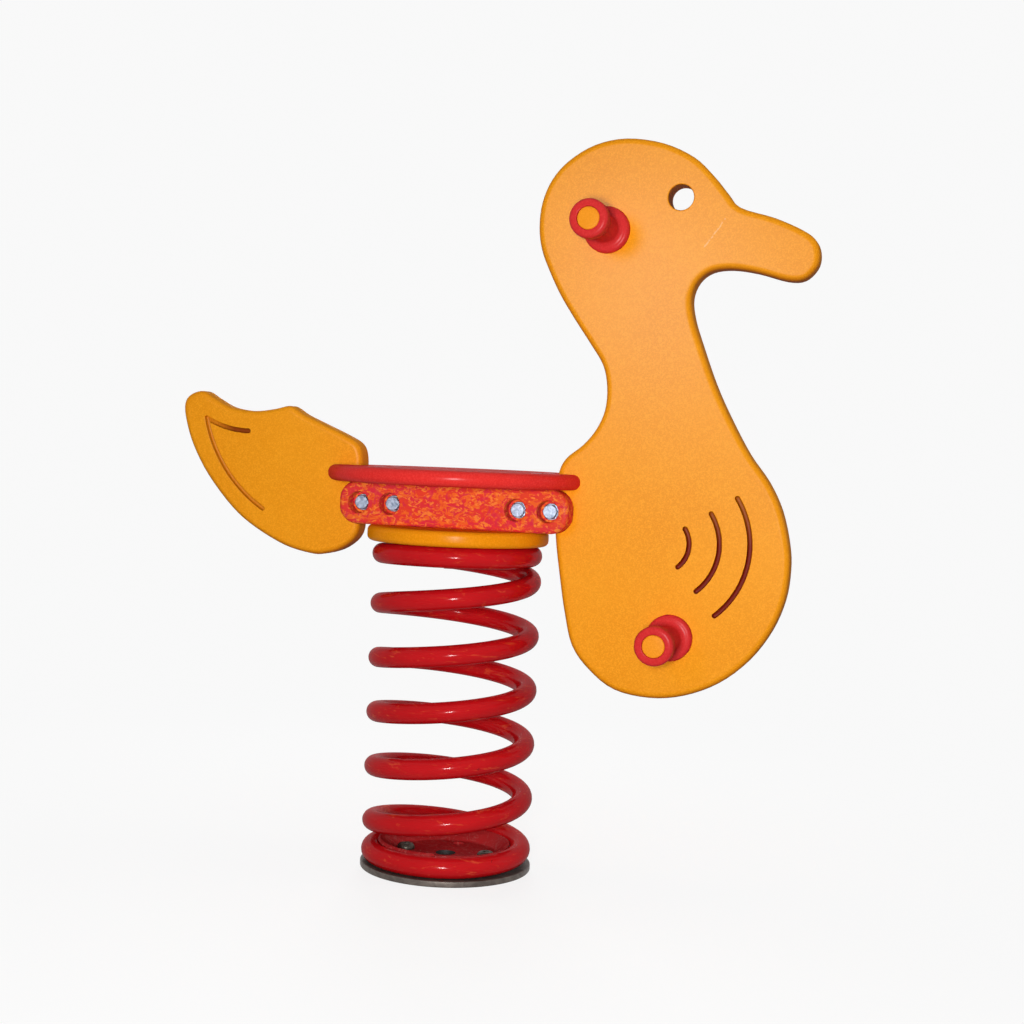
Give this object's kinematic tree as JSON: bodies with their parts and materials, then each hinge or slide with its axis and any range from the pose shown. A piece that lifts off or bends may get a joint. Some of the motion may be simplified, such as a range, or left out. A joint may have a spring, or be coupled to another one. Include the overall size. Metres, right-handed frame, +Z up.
{
  "type": "spring rider",
  "caption": "Playground spring rider: a flat duck cut from thick plastic sheet, with a round seat, hand grips and foot pegs, that rocks on a stout coil spring.",
  "frame": {"origin": "on the spring's axis, at the underside of the base plate, where the middle anchor hole opens", "axes": "+X to the beak, +Z up along the spring, +Y across the panels to the side with the nuts"},
  "size_m": [0.6356, 0.254, 0.7121],
  "materials": {
    "panel_orange": "satin, fine grain",
    "seat_red": "satin",
    "flecked_red": "satin, red with orange flecks",
    "disc_yellow": "satin",
    "spring_red": "gloss powder coat",
    "clamp_red": "gloss powder coat",
    "grip_red": "satin, moulded",
    "plug_orange": "satin, moulded",
    "zinc_steel": "zinc plated",
    "base_steel": "hot-dip galvanised, dull"
  },
  "bodies": {
    "ground_base": {"base_plate": "base_steel", "lower_clamp_plate": "clamp_red", "base_clamp_screws": "zinc_steel"},
    "spring": {"coil_spring": "spring_red"},
    "rider": {"upper_clamp_plate": "clamp_red", "upper_clamp_bolts": "zinc_steel", "upper_clamp_washers": "zinc_steel", "barrel_nuts": "zinc_steel", "mounting_disc": "disc_yellow", "side_plate_near": "flecked_red", "side_plate_far": "flecked_red", "frame_bolts": "zinc_steel", "frame_washers": "zinc_steel", "frame_nuts": "zinc_steel", "body_panel": "panel_orange", "tail_panel": "panel_orange", "seat": "seat_red", "seat_screws": "zinc_steel", "hand_grip_near": "grip_red", "hand_grip_far": "grip_red", "hand_grip_rod": "zinc_steel", "hand_grip_washers": "zinc_steel", "hand_grip_nuts": "zinc_steel", "hand_grip_plugs": "plug_orange", "foot_peg_near": "grip_red", "foot_peg_far": "grip_red", "foot_peg_rod": "zinc_steel", "foot_peg_washers": "zinc_steel", "foot_peg_nuts": "zinc_steel", "foot_peg_plugs": "plug_orange"}
  },
  "joints": [
    {"name": "rock_fore_aft", "type": "hinge", "parent": "ground_base", "child": "spring", "pos_m": [0, 0, 0.0898], "axis": [0, 1, 0], "range_deg": [-18, 18], "stiffness_Nm_per_rad": 560, "deforming": ["coil_spring"]},
    {"name": "rock_sideways", "type": "hinge", "parent": "spring", "child": "rider", "pos_m": [0, 0, 0.2368], "axis": [1, 0, 0], "range_deg": [-12, 12], "stiffness_Nm_per_rad": 560, "deforming": ["coil_spring"]}
  ]
}
